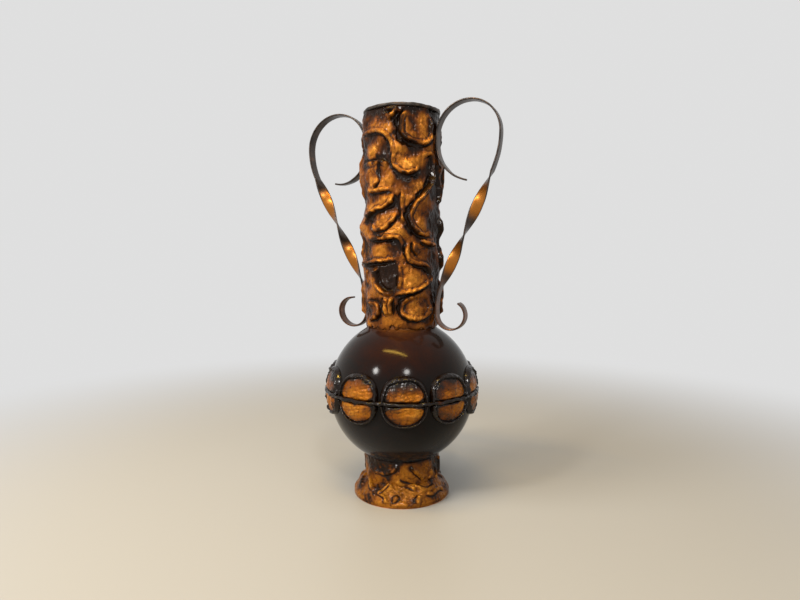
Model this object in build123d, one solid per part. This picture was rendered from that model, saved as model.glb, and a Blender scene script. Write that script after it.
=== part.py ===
from build123d import *
import os
from math import asin, atan2, cos, degrees, hypot, radians, sin, sqrt

# Urn vase of sheet copper: a globe on a bell foot, a tall tube neck and two strip handles with a
# full twist in the shank. A modelled crust covers the neck and the foot, and a belt of half-round
# lobes with a cord between them covers the seam of the globe.
# Millimetres, +Z up, origin on the axis at the level that the foot stands on.
# The handles lie along X, the wider one on -X.

# Sheet metal of the vessel
SHEET = 1.2
SOLDER_GAP = 0.1
GLOBE_RADIUS = 80.0
SEAM_LAP = 5.0
NECK_RADIUS = 37.5
NECK_LENGTH = 234.0
NECK_TUCK = 2.5
STEM_RADIUS = 38.5
FOOT_HEIGHT = 45.0
FOOT_RADIUS = 53.5
BELL_RADIUS = 60.0
BELL_DROP = 26.4
FOOT_LIP = 7.0

# Ring at the mouth
RIM_WIDTH = 5.4
RIM_HEIGHT = 3.6
RIM_ROUND = 1.5

# Crust on the neck and the foot
BOND = 0.1
NECK_SKIN = 2.6
FOOT_SKIN = 2.1
FOOT_SKIN_EDGE = 1.5
PAD_HEIGHT = 1.6
COIL_HEIGHT = 3.6
COIL_WIDTH = 4.2
FOLD_WIDTH = 4.6
FOLD_HEIGHT = 3.0
VEIN_WIDTH = 3.2
VEIN_HEIGHT = 1.0

# Medallions on one face of the neck: places round the outline of each, as an angle from the middle
# of the face and a height in per cent of the neck. The other face repeats them half a turn round.
FACE_ANGLE = -65.0
MEDALLIONS = [
    [
        (0, 96.2), (-4, 92.4), (-4, 88.1), (3, 85.1), (14, 83.4), (28, 82.1),
        (38, 83), (44, 86.4), (46, 91.5), (43, 95.4), (30, 96.9), (12, 96.9),
    ],
    [
        (-70, 80), (-70, 84.3), (-63, 87.1), (-52, 87.9), (-40, 87.9), (-30, 86.6),
        (-23, 84.3), (-19.5, 81.3), (-23, 78.3), (-32, 77), (-45, 76.4), (-60, 77),
    ],
    [
        (-13, 79.6), (-16, 75.7), (-12, 71.9), (-4, 69.7), (6, 68.9), (16, 70.2),
        (25, 72.7), (29, 75.7), (26, 79.1), (16, 80.4), (2, 80.9),
    ],
    [
        (34, 74.4), (39, 77.7), (46, 78.3), (53, 76.6), (56, 72.3),
        (54, 67.2), (46, 63.8), (38, 63.3), (35, 67.2),
    ],
    [
        (-74, 60.3), (-55, 61.2), (-38, 61.6), (-24, 63.3), (-14, 62.9), (-10, 59.9),
        (-14, 56.9), (-26, 54.8), (-42, 53.1), (-58, 51.8), (-72, 52.7),
    ],
    [
        (9, 50.1), (12, 45.8), (24, 43.7), (40, 43.3), (52, 45), (60, 48.4),
        (62, 53.5), (56, 58.2), (46, 60.3), (34, 59.5), (22, 56.9), (13, 53.9),
    ],
    [
        (-65, 43.7), (-65, 47.1), (-57, 49.2), (-45, 50.3), (-31, 50.7), (-19, 50.1),
        (-10, 48.4), (-8, 46.5), (-14, 45), (-26, 43.9), (-40, 43), (-55, 42.2),
    ],
    [
        (-62, 39.4), (-38, 40.3), (-20, 41.1), (-8, 40.7), (-3, 38.1), (-6, 35.1),
        (-14, 33.6), (-24, 33.4), (-36, 34.3), (-50, 33.4), (-62, 34.7),
    ],
    [
        (-40, 30), (-42, 26.2), (-38, 21.9), (-30, 19.3), (-18, 19.3),
        (-11, 22.3), (-9, 26.6), (-12, 30.4), (-25, 31.3),
    ],
    [
        (6, 28.5), (13, 29.6), (24, 29.8), (35, 29.6), (43, 28.3), (46, 25.7), (42, 22.7),
        (32, 20.4), (18, 18.7), (7, 17.8), (0, 19.3), (-1, 23.2), (1, 26.6),
    ],
    [
        (-3, 10.8), (2, 7.8), (8, 5.2), (20, 4.4), (34, 6.1), (42, 9.5),
        (44, 13.3), (38, 16.5), (28, 17.2), (14, 15.7), (2, 13.5),
    ],
    [
        (-72, 15.9), (-56, 16.3), (-43, 14.2), (-37, 9.9),
        (-45, 6.5), (-60, 4.8), (-72, 5.6), (-75, 10.8),
    ],
]

# Folds between the medallions: places along each, given in the same way.
FOLDS = [
    [(-79, 93.3), (-58, 95.4), (-38, 93.3), (-24, 95), (-10, 96.2)],
    [(-12, 90.7), (-14, 87.3), (-9, 83.8)],
    [(-58, 74.4), (-51, 71.5), (-44, 67.6), (-48, 64.6)],
    [(-2, 47.5), (0, 53.9), (0, 59.5), (5, 64.2), (16, 65)],
    [(24, 41.5), (19, 38.5), (9, 34.7)],
    [(30, 40.7), (42, 38.5), (58, 40.3), (74, 37.3)],
    [(-27, 15.9), (-29, 10.3), (-31, 4.4)],
    [(-13, 15), (-12, 9.9), (-15, 4.4)],
    [(50, 34.3), (58, 30), (57, 24.4), (52, 20.2)],
    [(-70, 29.1), (-57, 26.2), (-62, 22.3), (-52, 18.9)],
    [(84, 93.3), (80, 85.6), (88, 79.6), (81, 71), (90, 65), (84, 58.2)],
    [(63, 75.3), (66, 70.2), (73, 63.3), (69, 56.5)],
    [(78, 52.2), (72, 48), (80, 42.8), (76, 32.6), (82, 25.7)],
    [(80, 22.3), (84, 16.3), (79, 10.3), (84, 5.2)],
]

# Veins on one face of the foot: places along each, with the height in per cent of the foot.
VEINS = [
    [(-62, 66.7), (-58, 55.6), (-60, 45.6), (-54, 33.3), (-41, 23.3)],
    [(-60, 82.2), (-48, 69.8), (-30, 64.9), (-17, 70.7), (-8, 80), (-4, 92.2)],
    [(-20, 50.4), (-28, 36.2), (-34, 21.1)],
    [(-5, 62.2), (-1, 55.6), (5, 51.8), (20, 43.3), (33, 33.3), (45, 34.4), (52, 37.8)],
    [(12, 91.1), (15, 77.8), (26, 63.3), (33, 48.9)],
    [(62, 73.3), (68, 55.6), (62, 41.1)],
    [(74, 91.1), (82, 68.9), (77, 46.7), (86, 22.2)],
    [(20, 24.4), (17, 16.7), (14, 10)],
    [(30, 22.2), (40, 15.6), (52, 20), (64, 13.3)],
    [(-88, 42.2), (-77, 28.9), (-66, 20)],
]

# Belt of lobes round the globe
LOBES = 10
LOBE_START = -63.5
LOBE_GAP = 0.8
BELT_LIFT = 3.5
UPPER_LOBE_RISE = 28.0
LOWER_LOBE_DROP = 25.0
LOBE_ROOT = 6.2
LOBE_TIP = 3.4
LOBE_EDGE = 4.5
LOBE_DISH = 1.8
CORD_RADIUS = 2.0
CORD_GAP = 0.2

# Strip handles
STRIP_WIDTH = 12.0
STRIP_THICKNESS = 2.0
STRIP_CORNER = 3.0
SEAT_STAND = 3.7
LUG_WIDTH = 10.0
LUG_HEIGHT = 8.0
LUG_GAP = 0.15
SHANK_TURN = -360.0
SCROLL_HEIGHT = 16.0

# Right handle: the loop is measured down from the mouth
RIGHT_LOOP_DROP = 29.5
RIGHT_LOOP_RADIUS = 34.0
RIGHT_HOOK_RADIUS = 40.0
RIGHT_HOOK_TURN = 78.0
RIGHT_SHOULDER_BEND = 95.0
RIGHT_HEEL_BEND = 55.0
RIGHT_SCROLL_RADIUS = 16.0
RIGHT_CURL_RADIUS = 14.0
RIGHT_CURL_TURN = 62.0

# Left handle
LEFT_LOOP_DROP = 32.5
LEFT_LOOP_RADIUS = 37.0
LEFT_HOOK_RADIUS = 33.0
LEFT_HOOK_TURN = 105.0
LEFT_SHOULDER_BEND = 75.0
LEFT_HEEL_BEND = 45.0
LEFT_SCROLL_RADIUS = 17.5
LEFT_CURL_RADIUS = 15.0
LEFT_CURL_TURN = 88.0

# Sizes that follow from the ones above
GLOBE_INSIDE = GLOBE_RADIUS - SHEET
GLOBE_CENTRE = FOOT_HEIGHT + sqrt(GLOBE_RADIUS**2 - STEM_RADIUS**2)
SHOULDER = GLOBE_CENTRE + sqrt(GLOBE_RADIUS**2 - NECK_RADIUS**2)
NECK_BORE = NECK_RADIUS - SHEET
NECK_TOP = SHOULDER + NECK_LENGTH
RIM_BASE = NECK_TOP - RIM_HEIGHT
SKIN_INSIDE = NECK_RADIUS + BOND
SKIN_RADIUS = SKIN_INSIDE + NECK_SKIN
CRUST_BASE = SKIN_RADIUS + BOND
COIL_TOP = CRUST_BASE + COIL_HEIGHT
FOLD_TOP = CRUST_BASE + FOLD_HEIGHT
BELT_LEVEL = GLOBE_CENTRE + BELT_LIFT
BELT_RADIUS = sqrt(GLOBE_RADIUS**2 - BELT_LIFT**2)
SEAT_RADIUS = NECK_RADIUS + SEAT_STAND
STRIP_LINE = SEAT_RADIUS + STRIP_THICKNESS / 2
FAR = 3 * GLOBE_RADIUS


def ball(radius):
    """Sphere about the centre of the globe."""
    return Pos(0, 0, GLOBE_CENTRE) * Sphere(radius)


def rod(radius, bottom, top):
    """Plain cylinder about the axis, from one level to another."""
    return Pos(0, 0, bottom) * extrude(Circle(radius), top - bottom)


def tube(outer, inner, bottom, top):
    """Plain tube about the axis, from one level to another."""
    return rod(outer, bottom, top) - rod(inner, bottom, top)


def half_space(level, up):
    """Block that holds everything above a level, or everything below it."""
    shift = FAR / 2 if up else -FAR / 2
    return Pos(0, 0, level + shift) * Box(2 * FAR, 2 * FAR, FAR)


# The globe: two spun halves. The lower one has a lip that laps inside the upper one.
def globe_upper():
    shell = (ball(GLOBE_RADIUS) - ball(GLOBE_INSIDE)) & half_space(GLOBE_CENTRE, True)
    return shell - rod(NECK_RADIUS + SOLDER_GAP, GLOBE_CENTRE, NECK_TOP)


def globe_lower():
    shell = (ball(GLOBE_RADIUS) - ball(GLOBE_INSIDE)) & half_space(GLOBE_CENTRE, False)
    lap_outside = sqrt(GLOBE_INSIDE**2 - SEAM_LAP**2) - SOLDER_GAP
    lap_inside = lap_outside - SHEET
    root = ball(GLOBE_RADIUS) & tube(GLOBE_RADIUS, lap_inside, GLOBE_CENTRE - SEAM_LAP, GLOBE_CENTRE)
    lip = tube(lap_outside, lap_inside, GLOBE_CENTRE, GLOBE_CENTRE + SEAM_LAP)
    return shell + root + lip


# The neck: a plain tube let into the hole of the upper half, with a ring on its mouth.
def neck_tube():
    inside_level = GLOBE_CENTRE + sqrt(GLOBE_INSIDE**2 - NECK_RADIUS**2)
    return tube(NECK_RADIUS, NECK_BORE, inside_level - NECK_TUCK, RIM_BASE)


def rim_ring():
    ring = tube(NECK_BORE + RIM_WIDTH, NECK_BORE, RIM_BASE, NECK_TOP)
    outer_edges = ring.edges().filter_by(GeomType.CIRCLE).group_by(SortBy.RADIUS)[-1]
    return fillet(outer_edges, RIM_ROUND)


# The foot: a spun bell with a straight stem. Its outline can be taken in by a distance, so that
# the metal and the crust over it follow one another.
def bell_body(inset, bottom):
    centre_radius = FOOT_RADIUS - sqrt(BELL_RADIUS**2 - BELL_DROP**2)
    bell = BELL_RADIUS - inset
    stem = STEM_RADIUS - inset
    waist = sqrt(bell**2 - (stem - centre_radius) ** 2) - BELL_DROP
    edge = centre_radius + sqrt(bell**2 - (bottom + BELL_DROP) ** 2)
    halfway = (stem + edge) / 2
    halfway_level = sqrt(bell**2 - (halfway - centre_radius) ** 2) - BELL_DROP
    with BuildSketch(Plane.XZ) as section:
        with BuildLine():
            Polyline((stem, waist), (stem, GLOBE_CENTRE), (0, GLOBE_CENTRE), (0, bottom), (edge, bottom))
            ThreePointArc((edge, bottom), (halfway, halfway_level), (stem, waist))
        make_face()
    return revolve(section.sketch, Axis.Z) - ball(GLOBE_RADIUS + SOLDER_GAP)


def foot_shell():
    lip_hole = rod(FOOT_RADIUS - FOOT_LIP, 0, 2 * SHEET)
    return bell_body(0, 0) - bell_body(SHEET, SHEET) - lip_hole


def foot_skin():
    return bell_body(-BOND - FOOT_SKIN, FOOT_SKIN_EDGE) - bell_body(-BOND, 0)


# The crust on the neck: a skin, with medallions and folds laid on it.
def lug_block(level, side, gap):
    """Block on the neck tube that reaches out to the strip; gap widens it for its window."""
    reach = SEAT_RADIUS - NECK_BORE
    block = Box(reach, LUG_WIDTH + 2 * gap, LUG_HEIGHT + 2 * gap)
    block = Pos(side * (SEAT_RADIUS - reach / 2), 0, level) * block
    return block - rod(NECK_RADIUS + SOLDER_GAP, SHOULDER, NECK_TOP)


def lug_places():
    """Side and level of the four lugs: at the loop and at the scroll of each handle."""
    drops = [(1, RIGHT_LOOP_DROP), (-1, LEFT_LOOP_DROP)]
    places = [(side, NECK_TOP - drop - LUG_HEIGHT / 2) for side, drop in drops]
    places += [(side, SHOULDER + SCROLL_HEIGHT + LUG_HEIGHT / 2) for side in (1, -1)]
    return places


def handle_lugs():
    return Compound(children=[lug_block(level, side, 0) for side, level in lug_places()])


def neck_skin():
    skin = tube(SKIN_RADIUS, SKIN_INSIDE, GLOBE_CENTRE, RIM_BASE) - ball(GLOBE_RADIUS + BOND)
    for side, level in lug_places():
        skin -= lug_block(level, side, LUG_GAP)
    return skin


def facing(places, level):
    """Plane that faces out at the middle of some places, and the angle of that middle."""
    angles = [angle for angle, share in places]
    middle = (min(angles) + max(angles)) / 2
    turn = radians(FACE_ANGLE + middle)
    plane = Plane(
        origin=(0, 0, level),
        x_dir=(-sin(turn), cos(turn), 0),
        z_dir=(cos(turn), sin(turn), 0),
    )
    return plane, middle


def rolled_out(places, reach):
    """Plane that faces out at the middle of some places on the neck, and the places seen on it."""
    plane, middle = facing(places, SHOULDER)
    seen = [(reach * sin(radians(angle - middle)), share / 100 * NECK_LENGTH) for angle, share in places]
    return plane, seen


def neck_layer(inside, outside):
    """Layer round the neck between two radii."""
    return tube(outside, inside, SHOULDER, NECK_TOP)


def taken_in(outline, distance):
    """Places of a closed outline moved square to it towards the inside."""
    count = len(outline)
    turned = sum(
        outline[index - 1][0] * outline[index][1] - outline[index][0] * outline[index - 1][1]
        for index in range(count)
    )
    shift = distance if turned > 0 else -distance
    inner = []
    for index, (x, y) in enumerate(outline):
        before = outline[index - 1]
        after = outline[(index + 1) % count]
        across, up = after[0] - before[0], after[1] - before[1]
        length = hypot(across, up)
        inner.append((x - shift * up / length, y + shift * across / length))
    return inner


def medallion(places):
    """Pad with a coil round its edge."""
    plane, seen = rolled_out(places, COIL_TOP)
    outline = make_face(Spline(*seen, periodic=True))
    middle = make_face(Spline(*taken_in(seen, COIL_WIDTH), periodic=True))
    boss = extrude(plane * outline, FAR) & neck_layer(CRUST_BASE, COIL_TOP)
    dish = extrude(plane * middle, FAR) & neck_layer(CRUST_BASE + PAD_HEIGHT, FAR)
    return boss - dish


def fold(places):
    """Ridge that follows a smooth line."""
    plane, seen = rolled_out(places, FOLD_TOP)
    outline = trace(Spline(*seen), FOLD_WIDTH)
    return extrude(plane * outline, FAR) & neck_layer(CRUST_BASE, FOLD_TOP)


# The veins on the foot: low ridges laid on its skin.
def foot_reach(level):
    """Radius of the foot at a level."""
    centre_radius = FOOT_RADIUS - sqrt(BELL_RADIUS**2 - BELL_DROP**2)
    bell = sqrt(max(0, BELL_RADIUS**2 - (level + BELL_DROP) ** 2))
    return max(STEM_RADIUS, centre_radius + bell)


def vein(places):
    """Ridge that follows a smooth line on the foot."""
    plane, middle = facing(places, 0)
    seen = []
    for angle, share in places:
        level = share / 100 * FOOT_HEIGHT
        seen.append((foot_reach(level) * sin(radians(angle - middle)), level))
    outline = trace(Spline(*seen), VEIN_WIDTH)
    base = -2 * BOND - FOOT_SKIN
    layer = bell_body(base - VEIN_HEIGHT, FOOT_SKIN_EDGE) - bell_body(base, 0)
    return extrude(plane * outline, FAR) & layer


# The belt: half-round lobes above and below a cord that covers the seam of the globe.
def belt_ring(sign, reach, shave):
    """Solid of revolution under the outer face of one row of lobes, thinner away from the cord."""
    root = BELT_RADIUS + LOBE_ROOT - shave
    tip = GLOBE_RADIUS + LOBE_TIP - shave
    middle = (tip + root) / 2
    tip_lean = asin((BELT_LIFT + sign * reach) / GLOBE_RADIUS)
    middle_lean = asin((BELT_LIFT + sign * reach / 2) / GLOBE_RADIUS)
    root_point = (root, BELT_LEVEL)
    middle_point = (middle * cos(middle_lean), GLOBE_CENTRE + middle * sin(middle_lean))
    tip_point = (tip * cos(tip_lean), GLOBE_CENTRE + tip * sin(tip_lean))
    with BuildSketch(Plane.XZ) as section:
        with BuildLine():
            ThreePointArc(root_point, middle_point, tip_point)
            Polyline(tip_point, (0, tip_point[1]), (0, BELT_LEVEL), root_point)
        make_face()
    return revolve(section.sketch, Axis.Z)


def lobe_prism(index, sign, reach, inset):
    """Half-oval block that faces out at one lobe's place; its curved side is taken in by a distance."""
    turn = radians(LOBE_START + 360 / LOBES * index)
    face = Plane(
        origin=(0, 0, BELT_LEVEL),
        x_dir=(-sin(turn), cos(turn), 0),
        z_dir=(cos(turn), sin(turn), 0),
    )
    half_width = BELT_RADIUS * sin(radians(180 / LOBES)) - LOBE_GAP / 2 - inset
    oval = Ellipse(half_width, reach - inset)
    side = Pos(0, sign * (CORD_RADIUS + CORD_GAP + reach)) * Rectangle(FAR, 2 * reach)
    return extrude(face * (oval & side), FAR)


def lobe(index, sign, reach):
    body = (lobe_prism(index, sign, reach, 0) & belt_ring(sign, reach, 0)) - ball(GLOBE_RADIUS + BOND)
    return body - (lobe_prism(index, sign, reach, LOBE_EDGE) - belt_ring(sign, reach, LOBE_DISH))


def equator_cord():
    ring = BELT_RADIUS + CORD_RADIUS + BOND
    return Pos(0, 0, BELT_LEVEL) * Torus(ring, CORD_RADIUS)


# The handles: flat strip bent the easy way, with a full turn in the straight shank.
def handle(loop_drop, loop, hook, hook_turn, shoulder, heel, scroll, curl, curl_turn):
    loop_level = NECK_TOP - loop_drop
    run_bottom = loop_level - LUG_HEIGHT
    scroll_level = SHOULDER + SCROLL_HEIGHT
    heel_level = scroll_level + LUG_HEIGHT
    outermost = STRIP_LINE + 2 * loop

    # The shank is the line that touches the shoulder bend on one side and the heel bend on the other.
    across = (STRIP_LINE + heel) - (outermost - shoulder)
    down = loop_level - heel_level
    between = hypot(across, down)
    slope = asin((shoulder + heel) / between) - atan2(across, down)
    shank_length = sqrt(between**2 - (shoulder + heel) ** 2)
    lean = degrees(slope)

    with BuildLine() as upper_line:
        hook_bend = JernArc((STRIP_LINE, run_bottom), (0, -1), hook, hook_turn)
        Line((STRIP_LINE, run_bottom), (STRIP_LINE, loop_level))
        JernArc((STRIP_LINE, loop_level), (0, 1), loop, -180)
        bend = JernArc((outermost, loop_level), (0, -1), shoulder, -lean)
    shank_top = bend @ 1
    shank_way = bend % 1
    shank_bottom = shank_top + shank_way * shank_length
    with BuildLine() as lower_line:
        JernArc(shank_bottom, shank_way, heel, lean)
        Line((STRIP_LINE, heel_level), (STRIP_LINE, scroll_level))
        turn_up = JernArc((STRIP_LINE, scroll_level), (0, -1), scroll, 180)
        curl_bend = JernArc(turn_up @ 1, turn_up % 1, curl, curl_turn)

    upper = strip_along(upper_line.line, hook_bend @ 1)
    lower = strip_along(lower_line.line, curl_bend @ 1)
    top = Plane.XZ.from_local_coords(shank_top)
    way = Plane.XZ.from_local_coords(shank_bottom) - top
    section = Plane(origin=top, x_dir=(0, 1, 0), z_dir=way) * Rectangle(STRIP_WIDTH, STRIP_THICKNESS)
    shank = Solid.extrude_linear_with_rotation(section.face(), top, way, SHANK_TURN)
    return upper + shank + lower


def strip_along(line, tip):
    """Flat strip that follows a line in the plane of the handles, rounded off at its free tip."""
    strip = extrude(Plane.XZ * trace(line, STRIP_THICKNESS), STRIP_WIDTH / 2, both=True)
    end = strip.faces().sort_by_distance(Plane.XZ.from_local_coords(tip))[0]
    corners = end.edges().filter_by(Axis.Y, reverse=True)
    return fillet(corners, STRIP_CORNER)


parts = {
    "globe_upper": globe_upper(),
    "globe_lower": globe_lower(),
    "neck_tube": neck_tube(),
    "rim_ring": rim_ring(),
    "foot_shell": foot_shell(),
    "foot_skin": foot_skin(),
    "neck_skin": neck_skin(),
    "handle_lugs": handle_lugs(),
    "equator_cord": equator_cord(),
    "right_handle": handle(
        RIGHT_LOOP_DROP,
        RIGHT_LOOP_RADIUS,
        RIGHT_HOOK_RADIUS,
        RIGHT_HOOK_TURN,
        RIGHT_SHOULDER_BEND,
        RIGHT_HEEL_BEND,
        RIGHT_SCROLL_RADIUS,
        RIGHT_CURL_RADIUS,
        RIGHT_CURL_TURN,
    ),
    "left_handle": mirror(
        handle(
            LEFT_LOOP_DROP,
            LEFT_LOOP_RADIUS,
            LEFT_HOOK_RADIUS,
            LEFT_HOOK_TURN,
            LEFT_SHOULDER_BEND,
            LEFT_HEEL_BEND,
            LEFT_SCROLL_RADIUS,
            LEFT_CURL_RADIUS,
            LEFT_CURL_TURN,
        ),
        about=Plane.YZ,
    ),
}

for name, half_turn in (("front", 0), ("back", 180)):
    for number, places in enumerate(MEDALLIONS, 1):
        parts[f"{name}_medallion_{number:02d}"] = Rot(0, 0, half_turn) * medallion(places)

parts["neck_folds"] = Compound(
    children=[Rot(0, 0, half_turn) * fold(places) for half_turn in (0, 180) for places in FOLDS]
)

parts["foot_veins"] = Compound(
    children=[Rot(0, 0, half_turn) * vein(places) for half_turn in (0, 180) for places in VEINS]
)

for index in range(LOBES):
    parts[f"upper_lobe_{index + 1:02d}"] = lobe(index, 1, UPPER_LOBE_RISE)
    parts[f"lower_lobe_{index + 1:02d}"] = lobe(index, -1, LOWER_LOBE_DROP)

os.makedirs("parts", exist_ok=True)
for name, solid in parts.items():
    export_step(solid, f"parts/{name}.step")
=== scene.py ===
import bmesh
import bpy
import numpy as np
from mathutils import Matrix


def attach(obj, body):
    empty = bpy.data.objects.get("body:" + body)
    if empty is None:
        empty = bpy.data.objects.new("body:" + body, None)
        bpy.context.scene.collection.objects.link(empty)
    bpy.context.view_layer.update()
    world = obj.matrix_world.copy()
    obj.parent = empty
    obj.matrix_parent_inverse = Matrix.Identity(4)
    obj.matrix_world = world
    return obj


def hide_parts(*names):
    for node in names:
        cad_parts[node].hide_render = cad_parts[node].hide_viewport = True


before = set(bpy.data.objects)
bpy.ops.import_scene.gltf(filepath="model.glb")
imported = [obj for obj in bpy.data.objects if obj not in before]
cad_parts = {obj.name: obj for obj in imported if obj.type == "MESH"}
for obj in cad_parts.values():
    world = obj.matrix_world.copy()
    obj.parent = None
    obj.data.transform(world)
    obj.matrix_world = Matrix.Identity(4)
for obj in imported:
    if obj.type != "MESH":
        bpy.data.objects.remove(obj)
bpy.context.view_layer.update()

# Urn vase: copper globe on a bell foot, tall tube neck, two twisted strip handles, and a modelled
# crust on neck, foot and belt. Sizes are in millimetres, and meshes are written in metres.
MM = 0.001

# VIEW, FLOOR AND LIGHT
# The eye is level with the lower half of the neck, and the right handle is turned 25 degrees
# towards it. A pale floor lies under the foot. Two soft lamps light the vase from the left and
# from above; two spots and a tube leave glints on the globe.
scene = bpy.context.scene
scene.view_settings.view_transform = "Standard"
eye_turn = np.radians(25.0)
eye_distance = 620.75
eye_aside = -1.99
eye_height = 262.26
eye_tilt = 4.3
eye_lens = 25.2
eye_away = np.array([-np.sin(eye_turn), np.cos(eye_turn), 0.0])
eye_right = np.array([np.cos(eye_turn), np.sin(eye_turn), 0.0])
eye_up = np.array([0.0, 0.0, 1.0])
eye = -eye_distance * eye_away + eye_aside * eye_right + eye_height * eye_up
camera = bpy.data.objects.new("eye", bpy.data.cameras.new("eye"))
camera.data.lens = eye_lens
camera.location = eye * MM
camera.rotation_euler = (np.radians(90.0 - eye_tilt), 0.0, eye_turn)
scene.collection.objects.link(camera)
scene.camera = camera

lamp_aim = np.array([0.0, 0.0, 115.0])
warm_white = (1.0, 0.98, 0.95)
window_white = (1.0, 0.97, 0.93)
tube_yellow = (1.0, 0.62, 0.10)


def lamp(name, ends, distance, height, watts, colour, mirrored):
    """Area lamp whose two ends lie in given directions from the globe: right, up and to the eye."""
    first, second = (np.array(end) @ np.stack([eye_right, eye_up, -eye_away]) for end in ends)
    way = (first + second) / np.linalg.norm(first + second)
    long = second - first
    long = (long - way * (long @ way)) / np.linalg.norm(long - way * (long @ way))
    made = bpy.data.lights.new(name, "AREA")
    made.shape = "ELLIPSE"
    made.size = np.linalg.norm(second - first) * distance * MM
    made.size_y = height * MM
    made.energy = watts
    made.color = colour
    holder = bpy.data.objects.new(name, made)
    turned = Matrix(np.stack([long, np.cross(way, long), way], -1).tolist()).to_4x4()
    holder.matrix_world = Matrix.Translation((way * distance + lamp_aim) * MM) @ turned
    holder.visible_glossy = mirrored
    scene.collection.objects.link(holder)


lamp("window", ((-0.97, 0.42, 0.15), (-0.70, 0.50, 0.52)),
     distance=1700.0, height=600.0, watts=24.0, colour=window_white, mirrored=False)
lamp("ceiling", ((-0.35, 0.95, 0.25), (0.35, 0.95, 0.25)),
     distance=1900.0, height=1000.0, watts=15.0, colour=warm_white, mirrored=False)
lamp("left_spot", ((-0.670, 0.555, 0.536), (-0.540, 0.555, 0.536)),
     distance=1500.0, height=230.0, watts=9.0, colour=warm_white, mirrored=True)
lamp("right_spot", ((0.060, 0.618, 0.776), (0.190, 0.618, 0.776)),
     distance=1500.0, height=200.0, watts=6.5, colour=warm_white, mirrored=True)
lamp("tube", ((-0.426, 0.870, 0.16), (0.146, 0.872, 0.447)),
     distance=1500.0, height=80.0, watts=11.0, colour=tube_yellow, mirrored=True)


def feed(tree, node, sockets):
    """Gives each input of a shader node its value or the output that feeds it."""
    for name, value in sockets.items():
        if isinstance(value, bpy.types.NodeSocket):
            tree.links.new(value, node.inputs[name])
        else:
            node.inputs[name].default_value = value


def put(tree, kind, sockets, **settings):
    """Adds a shader node with its settings and feeds its inputs."""
    made = tree.nodes.new("ShaderNode" + kind)
    for name, value in settings.items():
        setattr(made, name, value)
    feed(tree, made, sockets)
    return made.outputs[0]


def combine(tree, operation, first, second):
    """Sum, product, difference or larger one of two values."""
    return put(tree, "Math", {0: first, 1: second}, operation=operation)


def rescaled(tree, value, given, wanted=(0.0, 1.0), kind="LINEAR"):
    """Value carried from a given range to a wanted one and held inside it."""
    ends = {"From Min": given[0], "From Max": given[1], "To Min": wanted[0], "To Max": wanted[1]}
    return put(tree, "MapRange", {"Value": value, **ends}, interpolation_type=kind)


def seen_rays(tree):
    """One for rays from the eye, through glass or off a gloss; nought for rays that only light."""
    rays = tree.nodes.new("ShaderNodeLightPath").outputs
    seen = combine(tree, "MAXIMUM", rays["Is Camera Ray"], rays["Is Transmission Ray"])
    return combine(tree, "MAXIMUM", seen, rays["Is Glossy Ray"])


def new_material(name):
    """A material with its node tree and its main shader."""
    material = bpy.data.materials.new(name)
    material.use_nodes = True
    return material, material.node_tree, material.node_tree.nodes["Principled BSDF"]


room_level = 0.19
background_level = 0.74
white = (1.0, 1.0, 1.0, 1.0)
world = bpy.data.worlds.new("room")
world.use_nodes = True
scene.world = world
room = world.node_tree
room_strength = rescaled(room, seen_rays(room), (0.0, 1.0), (room_level, background_level))
feed(room, room.nodes["Background"], {"Color": white, "Strength": room_strength})

table_half = 3000.0
fade_start = 300.0
fade_end = 950.0
side = table_half * MM
table_corners = [(-side, -side, 0.0), (side, -side, 0.0), (side, side, 0.0), (-side, side, 0.0)]
table_mesh = bpy.data.meshes.new("table_top")
table_mesh.from_pydata(table_corners, [], [(0, 1, 2, 3)])
table_top = bpy.data.objects.new("table_top", table_mesh)
scene.collection.objects.link(table_top)
material, tree, shader = new_material("table_cream")
feed(tree, shader, {"Base Color": (0.365, 0.352, 0.318, 1.0), "Roughness": 0.45})
table_mesh.materials.append(material)
place = tree.nodes.new("ShaderNodeTexCoord").outputs["Object"]
far = put(tree, "VectorMath", {0: place}, operation="LENGTH").node.outputs["Value"]
fade = rescaled(tree, far, (fade_start * MM, fade_end * MM), kind="SMOOTHSTEP")
fade = combine(tree, "MULTIPLY", fade, seen_rays(tree))
pale = put(tree, "Emission", {"Color": white, "Strength": background_level})
mixed = put(tree, "MixShader", {0: fade, 1: shader.outputs[0], 2: pale})
tree.links.new(mixed, tree.nodes["Material Output"].inputs["Surface"])

# GLOBE
# Two spun halves of sheet copper soldered into one ball, under near-black clear lacquer that
# lets the copper show through round the neck; an amber patch on the side that faces the eye, and
# its twin on the back, is a painted reflection. A low fillet of solder runs up to the neck tube.
globe_centre = 115.126
globe_radius = 80.0
globe_sheet = 1.2
neck_hole = 37.65
face_angle = -65.0
outer_rows = 150
inner_rows = 60
globe_columns = 256
wave_size = 60.0
wave_height = 0.02
solder_height = 1.6
solder_fade = 1.1
face_reflection = 0.45
face_reflection_spread = 0.80
face_reflection_level = 140.0
face_reflection_rise = 26.0
collar_glow = 0.50
collar_fade = 4.0


def lumps(points, size, seed):
    """Smooth random swelling: the sum of sixteen plane waves of about one size, with random ways."""
    count = 16
    rng = np.random.default_rng(seed)
    ways = rng.normal(size=(count, 3))
    pace = 2 * np.pi / size * rng.uniform(0.6, 1.5, (count, 1))
    ways *= pace / np.linalg.norm(ways, axis=1, keepdims=True)
    phases = rng.uniform(0, 2 * np.pi, count)
    return np.sin(points @ ways.T + phases).sum(-1) * np.sqrt(2 / count)


def full_turn(count):
    """Angles of even steps once round."""
    return np.linspace(0, 2 * np.pi, count, endpoint=False)


def spun(radius, level, turns):
    """Points of a surface of revolution: each place of the profile carried round the axis."""
    return np.stack([np.outer(radius, np.cos(turns)), np.outer(radius, np.sin(turns)),
                     np.outer(level, np.ones(len(turns)))], -1)


def fall(gap, half):
    """Bell curve: one where the gap is nought, e to the minus one where it is the half width."""
    return np.exp(-((gap / half) ** 2))


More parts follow.
